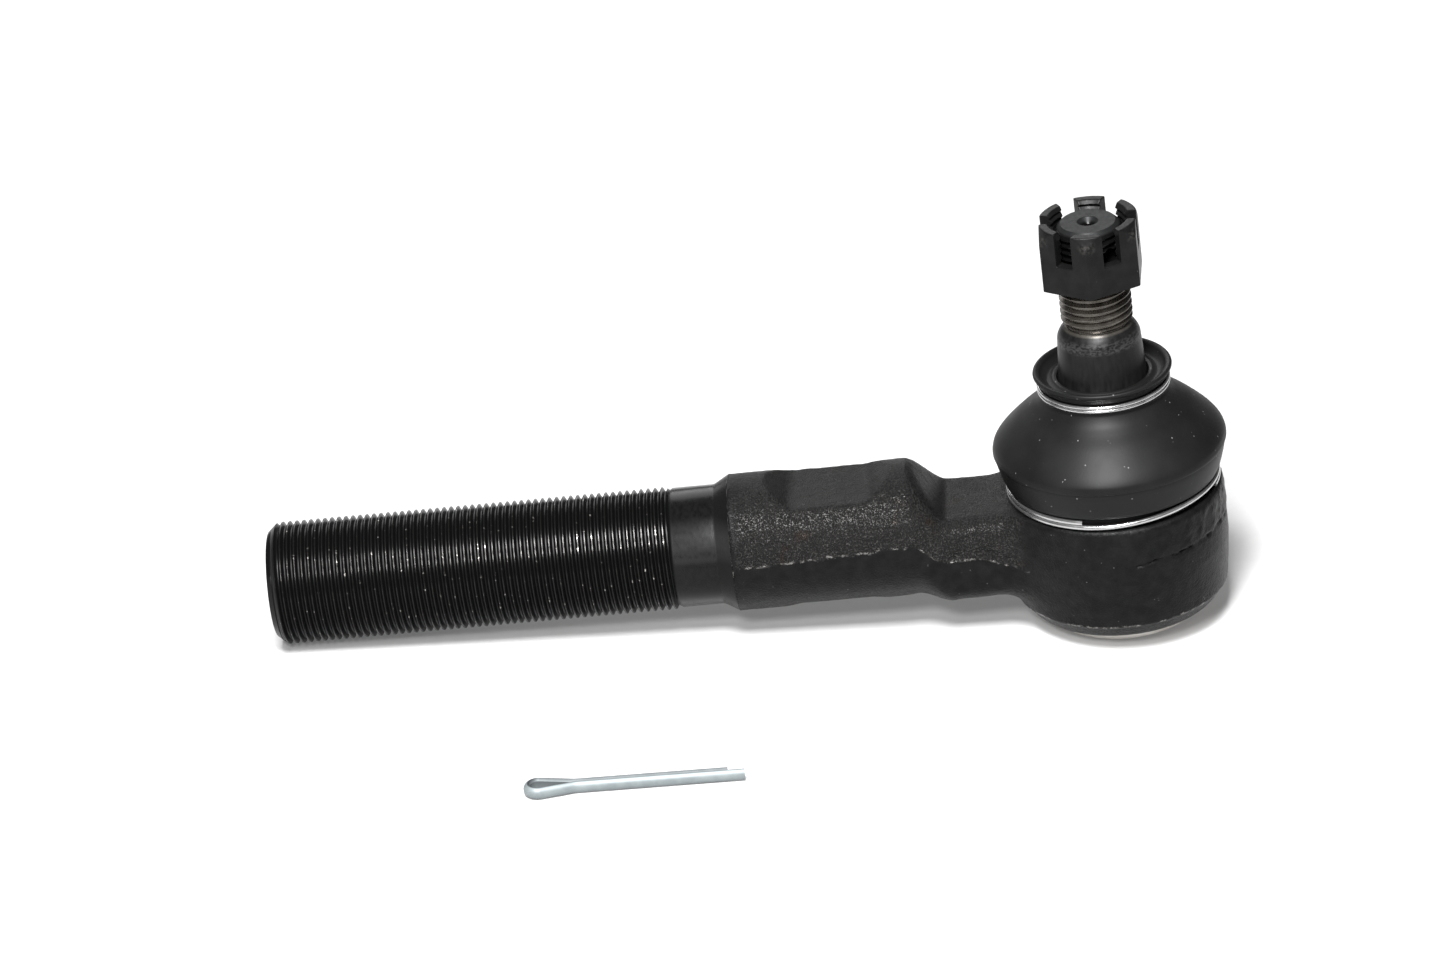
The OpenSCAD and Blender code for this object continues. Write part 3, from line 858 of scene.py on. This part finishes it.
def nut_field(x, y, z):
    """The nut, standing on its own face at height 0."""
    r, turn = np.hypot(x, y), np.arctan2(y, x)
    hexagon = np.full(np.shape(x), -np.inf)
    slots = np.full(np.shape(x), np.inf)
    for i in range(3):
        face = math.radians(NUT_TURN + 30 + 60 * i)
        out = np.abs(x * math.cos(face) + y * math.sin(face))
        side = np.abs(y * math.cos(face) - x * math.sin(face))
        hexagon = smooth_max(hexagon, out - NUT_HALF_AF, NUT_EDGE) if i else out - NUT_HALF_AF
        slots = np.minimum(slots, smooth_max(side - SLOT_HALF_W, NUT_SOLID_H - z, NUT_EDGE))
    ends = np.maximum(-z, z - NUT_H)
    corner = 0.91 * (r - NUT_HALF_AF - 0.25) + 0.41 * (z - NUT_H)
    solid = smooth_max(smooth_max(hexagon, ends, NUT_EDGE), corner, NUT_EDGE)
    phase = (z / STUD_PITCH - turn / (2 * math.pi)) % 1
    ridge = np.abs(phase - 0.5) * 2
    groove = NUT_THREAD_DEPTH * np.clip(1.25 * ridge - 0.12, 0, 1)
    mouth = np.maximum(0.9 - z, z - NUT_H + 0.9).clip(0, 2)
    bore = NUT_BORE_R + np.maximum(groove, mouth) - r
    return smooth_max(smooth_max(solid, bore, NUT_EDGE), -slots, NUT_EDGE)


def castle_nut():
    """The nut's mesh, with faint dents and its worn corners marked."""
    size, over = NUT_HALF_AF / math.cos(math.radians(30)) + 0.6, 0.6
    points, normals, quads = surface_of(
        nut_field, (-size, -size, -over), (size, size, NUT_H + over), NUT_CELL)
    points = points + normals * (0.02 * fractal(points, 2.5) - 0.01)[:, None]
    r, z = np.hypot(points[:, 0], points[:, 1]), points[:, 2]
    points = points + (0, 0, NUT_BOTTOM)
    nut = new_object("castle_nut_milled", points, quads.tolist(), [nut_black()], 50)
    corners = ramp(r, NUT_HALF_AF + 0.5, NUT_HALF_AF + 1.0) * ramp(z, NUT_H - 4, NUT_H - 2)
    write_values(nut, "wear_and_seam_shade", corners)
    return nut


# ---------------------------------------------------------------- the boot and its rings

CREASE_Z, WALL = 18.6, 1.6
GROOVE_R, GROOVE_TOP = 21.3, 11.7
CUFF_R, CUFF_TOP_R, CUFF_Z = 18.95, 19.9, 9.4
LIP_BORE_R, UPPER_GROOVE_R, BOOT_TOP_R = 9.5, 13.1, 14.5
BOOT_RIPPLE, RIPPLE_SIZE = 0.10, 14


def ripple(obj, amount, size):
    """Moves a turned soft part's points a little out and in, so that it isn't perfectly round."""
    for vertex in obj.data.vertices:
        out = Vector((vertex.co.x, vertex.co.y, 0)).normalized()
        vertex.co += out * amount * MM * noise.noise(vertex.co / (size * MM))


def boot_dome(rubber):
    """The boot above its crease, up to the flared lip round the stud."""
    outer = curve_through([(UPPER_GROOVE_R, 32.3), (13.3, 31.2), (14.4, 29.6), (16.0, 28.2),
                           (18.6, 26.2), (21.1, 23.9), (23.05, 21.9), (24.15, 20.4),
                           (BOOT_R, 19.3)], 6)
    outer += arc((BOOT_R - 0.3, CREASE_Z + 0.32), 0.3, -10, -90, 4)
    inner = offset_curve(outer[:-5], WALL)[::-1]
    lip = curve_through([(LIP_BORE_R + 0.6, 30.4), (LIP_BORE_R, 31.4), (LIP_BORE_R, 34.6)], 3)
    lip += curve_through([(LIP_BORE_R + 0.15, 35.1), (10.3, 35.2), (10.9, 34.85), (11.7, 34.75),
                          (12.7, 35.5), (13.2, 36.3)], 4)
    lip += arc((BOOT_TOP_R - 0.55, BOOT_TOP - 0.55), 0.55, 120, -60, 8)
    lip += [(UPPER_GROOVE_R + 0.5, 34.4), (UPPER_GROOVE_R, 34.0)]
    under = [(BOOT_R - 1.9, CREASE_Z)]
    dome = lathe("dust_boot_dome", outer + under + inner + lip, 144, [rubber], True, 60)
    ripple(dome, BOOT_RIPPLE, RIPPLE_SIZE)
    return dome


def boot_skirt(rubber):
    """The boot below its crease, down to the cuff that the lower ring clamps."""
    outer = curve_through([(BOOT_R - 0.28, CREASE_Z + 0.02), (24.0, 17.2), (23.3, 14.6),
                           (22.7, 12.9), (22.3, 12.1)], 6)
    inner = offset_curve(outer, WALL)[::-1]
    cuff = [(GROOVE_R + 0.35, GROOVE_TOP + 0.05), (GROOVE_R, GROOVE_TOP - 0.3), (GROOVE_R, CUFF_Z),
            (CUFF_R, CUFF_Z), (CUFF_R, 11.7), (CUFF_TOP_R, 12.5), (CUFF_TOP_R, 13.2)]
    skirt = lathe("dust_boot_skirt", outer + cuff + inner, 144, [rubber], True, 60)
    ripple(skirt, BOOT_RIPPLE, RIPPLE_SIZE)
    return skirt


LOWER_RING = {"radius": 22.0, "wire_d": 1.1, "start": -18, "turns": 1.75}
UPPER_RING = {"radius": 13.55, "wire_d": 0.8, "start": 40, "turns": 1.9}


def wire_outline(radius, sides=14):
    """A round wire's cross-section."""
    return [(radius * math.cos(a), radius * math.sin(a))
            for a in np.linspace(0, 2 * math.pi, sides, endpoint=False)]


def ring(name, height, metal, radius, wire_d, start, turns):
    """A wire wound round the boot. Height gives each angle's height, in degrees from the start."""
    steps = int(turns * 144)
    path = []
    for i in range(steps + 1):
        swept = 360 * turns * i / steps
        angle = math.radians(start + swept)
        path.append((radius * math.cos(angle), radius * math.sin(angle), height(swept)))
    return sweep(name, path, wire_outline(wire_d / 2), [metal], 50)


# ---------------------------------------------------------------- cover plate and split pin


def cover_plate():
    """The pressed cover that the housing's lip is rolled over. The spring stands in its recess."""
    top, step, recess, r = -15.2, -16.8, -15.65, 19.0
    floor_top = COVER_BOTTOM + 1.6
    outline = [(0, COVER_BOTTOM), (8.0, COVER_BOTTOM)]
    outline += arc((15.4, COVER_BOTTOM + 1.0), 1.0, -90, -45, 5)
    outline += [(17.75, COVER_BOTTOM + 1.95), (17.9, COVER_BOTTOM + 2.2), (17.9, step - 0.2),
                (18.05, step), (r - 0.2, step), (r, step + 0.2), (r, top - 0.2), (r - 0.2, top),
                (16.5, top), (16.2, recess), (12.4, recess), (12.0, recess - 0.4),
                (12.0, floor_top + 0.3), (11.7, floor_top), (0, floor_top)]
    return lathe("cover_plate_pressed", outline, 160, [cover_steel()], False, 40)


PIN_D, PIN_EYE_R, PIN_TAPER, PIN_BEND_R = 2.8, 1.6, 12, 6.0
PIN_FLAT_HALF = PIN_D / 2 - 0.65
PIN_LEG, PIN_SHORT, PIN_GAP = 34.0, 3.4, 0.06
PIN_TURN, PIN_SLOPE = 4.8, 3.5
PIN_AT = (-120.8, -70.7, -12.0)


def pin_path():
    """The pin's centre line in its own plane: along one leg, round the eye and back."""
    taper = math.radians(PIN_TAPER)
    rise = PIN_BEND_R * (1 - math.cos(taper))
    side = (PIN_EYE_R * math.cos(taper) - PIN_GAP - rise) / math.sin(taper)
    leg_x = (PIN_EYE_R + PIN_BEND_R) * math.sin(taper) + side * math.cos(taper)

    def leg(sign, length):
        path = [(leg_x + length * t, sign * PIN_GAP) for t in np.linspace(1, 0, 12, endpoint=False)]
        for t in np.linspace(0, taper, 7):
            out = PIN_GAP + PIN_BEND_R * (1 - math.cos(t))
            path.append((leg_x - PIN_BEND_R * math.sin(t), sign * out))
        return path

    eye = arc((0, 0), PIN_EYE_R, 90 - PIN_TAPER, 270 + PIN_TAPER, 40)
    return leg(1, PIN_LEG - PIN_SHORT) + eye + leg(-1, PIN_LEG)[::-1]


def split_pin():
    """Nearly half-round wire folded on itself, its flat side inwards."""
    metal = zinc("pin_zinc", (0.23, 0.26, 0.267, 1), (0.19, 0.215, 0.225, 1), 0.4, (0.5, 0.6))
    outline = [(0.0, -PIN_FLAT_HALF)]
    outline += [(-s, u) for s, u in arc((0, 0), PIN_D / 2, -70, 70, 14)]
    outline += [(0.0, PIN_FLAT_HALF)]
    path = [(x, y, 0) for x, y in pin_path()]
    pin = sweep("split_pin_bent", path, outline, [metal], 40)
    # painted shade: the edges of the flat sides, where the two legs meet, are made dark
    seam = np.zeros((len(path), len(outline)))
    seam[:, [0, -1]] = 0.5
    seam[:, [1, -2]] = 1
    write_values(pin, "wear_and_seam_shade", seam.ravel())
    pin.data.transform(Matrix.Translation(Vector(PIN_AT) * MM)
                       @ Matrix.Rotation(math.radians(PIN_TURN), 4, "Z")
                       @ Matrix.Rotation(math.radians(PIN_SLOPE), 4, "Y"))
    return pin


# ---------------------------------------------------------------- putting it together


def hold(piece, body, slot, *nodes):
    """Puts a piece on its body, in place of CAD nodes."""
    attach(piece, body)
    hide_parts(*nodes)


def lower_height(swept):
    """The lower ring's wire: low for three quarters of a turn, then up onto itself."""
    return 10.0 + 1.1 * ramp(swept, 268, 350)


def upper_height(swept):
    """The upper ring's wire, in the same way."""
    return 32.62 + 0.8 * ramp(swept, 300, 370)


hold(forged_body(), "housing", "forged_black", "forged_body")
hold(cover_plate(), "housing", "cover_steel", "cover_plate")
hold(ball_stud(), "stud", "stud_steel", "ball_stud")
hold(castle_nut(), "nut", "nut_black", "castle_nut")
hold(split_pin(), "loose_pin", "pin_zinc", "split_pin")
ring_wire = zinc("ring_wire", grey(0.52), grey(0.45), 0.95, (0.20, 0.26))
hold(ring("lower_ring_wire", lower_height, ring_wire, **LOWER_RING),
     "housing", "ring_wire", "lower_boot_ring")
hold(ring("upper_ring_wire", upper_height, ring_wire, **UPPER_RING),
     "collar", "ring_wire", "upper_boot_ring")

rubber = boot_rubber()
skirt, dome = boot_skirt(rubber), boot_dome(rubber)
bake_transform(skirt, "housing", "boot", start=(0, 0, 0.0118), end=(0, 0, 0.0180))
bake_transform(dome, "boot", "collar", start=(0, 0, 0.0192), end=(0, 0, 0.0318))
for part in (skirt, dome):
    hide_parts("dust_boot")

for name, material in (("upper_ball_seat", seat_polymer()), ("lower_ball_seat", seat_polymer()),
                       ("preload_spring", spring_steel())):
    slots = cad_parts[name].data.materials
    slots.clear()
    slots.append(material)

# ---------------------------------------------------------------- floor, light and camera

CONTACT_X = -15.8  # where the cover's edge touches the floor
FLOOR_SLOPE = 3.5
FLOOR_HALF = 1500
FLOOR_GLOW, ROOM_LIGHT = 0.12, 0.12


def floor():
    """A plain pale table top. The part lies on its cover and on the end of its shank."""
    corners = [(x * FLOOR_HALF, y * FLOOR_HALF, 0) for x, y in ((-1, -1), (1, -1), (1, 1), (-1, 1))]
    table = new_object("floor", corners, [(0, 1, 2, 3)])
    material, tree, principled = shader("floor_white", Roughness=0.9, Specular_IOR_Level=0.1,
                                        Emission_Color=(1, 1, 1, 1), Emission_Strength=FLOOR_GLOW)
    paper = grain(tree, 3.0, 3.0)
    join(tree, principled, tint(tree, remap(tree, paper, 0.3, 0.7), grey(0.48), grey(0.50)))
    table.data.materials.append(material)
    table.matrix_world = (Matrix.Translation(Vector((CONTACT_X, 0, COVER_BOTTOM)) * MM)
                          @ Matrix.Rotation(math.radians(FLOOR_SLOPE), 4, "Y"))


# each lamp's azimuth and elevation in degrees, distance and width in metres, and power in watts
LAMPS = {
    "key": (0, 60, 1.3, 0.35, 42.0),
    "front": (-6.5, 41, 1.6, 0.25, 15.0),
    "right": (85, 25, 1.2, 0.4, 0.4),
    "back": (191, 28, 1.4, 0.8, 5.0),
}
LAMPS_AIM = (-0.08, 0, 0)


def softbox(name, azimuth, elevation, distance, size, power):
    """A square lamp that faces the part. Azimuth 0 is in front, and 90 is to the right."""
    lamp = bpy.data.lights.new(name, "AREA")
    lamp.shape = "SQUARE"
    lamp.size = size
    lamp.energy = power
    obj = bpy.data.objects.new(name, lamp)
    a, e = math.radians(azimuth), math.radians(elevation)
    away = Vector((math.sin(a) * math.cos(e), -math.cos(a) * math.cos(e), math.sin(e)))
    obj.location = Vector(LAMPS_AIM) + away * distance
    obj.rotation_euler = away.to_track_quat("Z", "Y").to_euler()
    bpy.context.scene.collection.objects.link(obj)


def room():
    """A dim white surround, and the lamps."""
    world = bpy.data.worlds.new("room")
    world.use_nodes = True
    background = world.node_tree.nodes["Background"]
    background.inputs["Color"].default_value = (1, 1, 1, 1)
    background.inputs["Strength"].default_value = ROOM_LIGHT
    bpy.context.scene.world = world
    bpy.context.scene.view_settings.view_transform = "Standard"
    for name, lamp in LAMPS.items():
        softbox(name, *lamp)


# the lens in millimetres, the point it looks at and its distance in metres, and degrees of turn
SENSOR_W, LENS = 36.0, 161.938
CAMERA_AT = (-0.08153, 0, 0.01757)
CAMERA_AWAY = 1.36445
CAMERA_DOWN, CAMERA_SIDE, CAMERA_ROLL = 27.07, -4.87, 7.43


def camera():
    """A long lens, looking down at the part from a little to its right, and rolled."""
    down, side, roll = (math.radians(v) for v in (CAMERA_DOWN, CAMERA_SIDE, CAMERA_ROLL))
    ahead = Vector((math.sin(side) * math.cos(down), math.cos(side) * math.cos(down),
                    -math.sin(down)))
    level = Vector((math.cos(side), -math.sin(side), 0))
    up = level.cross(ahead)
    right = level * math.cos(roll) - up * math.sin(roll)
    over = level * math.sin(roll) + up * math.cos(roll)
    lens = bpy.data.cameras.new("camera")
    lens.sensor_width = SENSOR_W
    lens.lens = LENS
    lens.clip_end = 20
    obj = bpy.data.objects.new("camera", lens)
    bpy.context.scene.collection.objects.link(obj)
    pose = Matrix((right, over, -ahead)).transposed().to_4x4()
    pose.translation = Vector(CAMERA_AT) - ahead * CAMERA_AWAY
    obj.matrix_world = pose
    bpy.context.scene.camera = obj


floor()
room()
camera()
